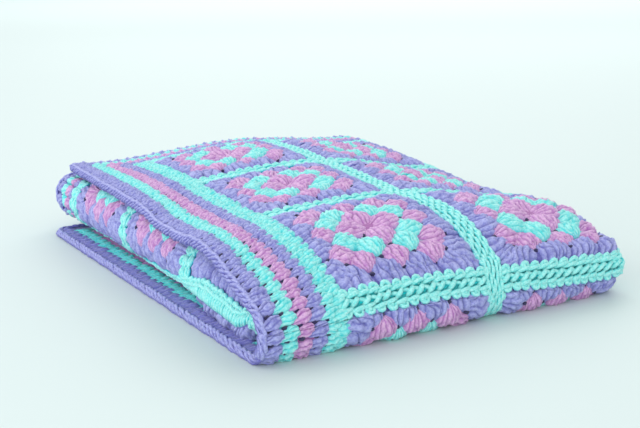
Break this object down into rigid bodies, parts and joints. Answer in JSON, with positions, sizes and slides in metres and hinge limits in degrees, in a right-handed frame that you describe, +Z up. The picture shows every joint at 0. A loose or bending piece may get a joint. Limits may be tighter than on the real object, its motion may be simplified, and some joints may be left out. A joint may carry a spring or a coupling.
{
  "type": "folded granny square blanket",
  "caption": "Folded crochet blanket of joined granny squares with a worked striped border, resting flat with a loose rounded roll on its left side.",
  "frame": {"origin": "centre of the folded blanket's bounding box, on the surface it rests on", "axes": "+X along the front fold towards the right fold, +Y from the front fold to the back, +Z up"},
  "size_m": [0.3009, 0.4237, 0.0716],
  "materials": {
    "cotton_yarn": "matt crochet cotton yarn, in lilac, mint and orchid pink"
  },
  "bodies": {
    "root": {"granny_blanket": "cotton_yarn"}
  },
  "joints": []
}
